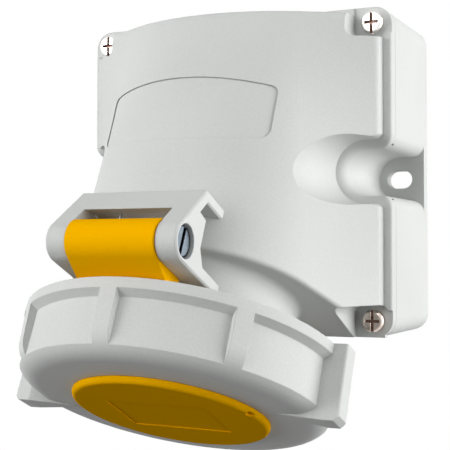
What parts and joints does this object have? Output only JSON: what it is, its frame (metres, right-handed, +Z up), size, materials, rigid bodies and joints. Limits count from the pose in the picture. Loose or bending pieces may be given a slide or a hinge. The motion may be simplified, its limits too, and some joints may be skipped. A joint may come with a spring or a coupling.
{
  "type": "surface-mounted industrial socket",
  "caption": "Surface-mounted industrial pin-and-sleeve socket: grey wall box with a slanted barrel, hinged yellow lid and turning bayonet ring",
  "frame": {"origin": "middle of the flat wall face", "axes": "+X to the right seen from the front, -Y to the front, +Z up"},
  "size_m": [0.1052, 0.128, 0.1406],
  "materials": {
    "grey_plastic": "satin moulded",
    "yellow_plastic": "satin moulded",
    "black_plastic": "moulded",
    "black_rubber": "matte",
    "nickel_steel": "bright plated",
    "spring_steel": "drawn",
    "brass": "turned"
  },
  "bodies": {
    "housing": {"base_housing": "grey_plastic", "front_cover": "grey_plastic", "cover_seal": "black_rubber", "cover_screws": "nickel_steel", "contact_carrier": "black_plastic", "line_contact": "brass", "neutral_contact": "brass", "earth_contact": "brass", "contact_springs": "spring_steel", "terminal_screws": "nickel_steel", "carrier_screws": "nickel_steel", "hinge_bracket": "grey_plastic", "hinge_pin": "spring_steel", "hinge_spring": "spring_steel", "entry_plug": "grey_plastic", "entry_seal": "black_rubber"},
    "lid": {"lid": "yellow_plastic", "lid_cap": "yellow_plastic", "lid_seal": "black_rubber"},
    "ring": {"bayonet_ring": "grey_plastic"}
  },
  "joints": [
    {"name": "lid_hinge", "type": "hinge", "parent": "housing", "child": "lid", "pos_m": [0, -0.1181, -0.02232], "axis": [-1, 0, 0], "range_deg": [0, 115], "stiffness_Nm_per_rad": 0.06, "springref_deg": -114.59, "deforming": ["hinge_spring"]},
    {"name": "ring_turn", "type": "hinge", "parent": "lid", "child": "ring", "pos_m": [0, -0.08577, -0.06495], "axis": [0, -0.4258, -0.9048], "range_deg": [0, 40]}
  ]
}
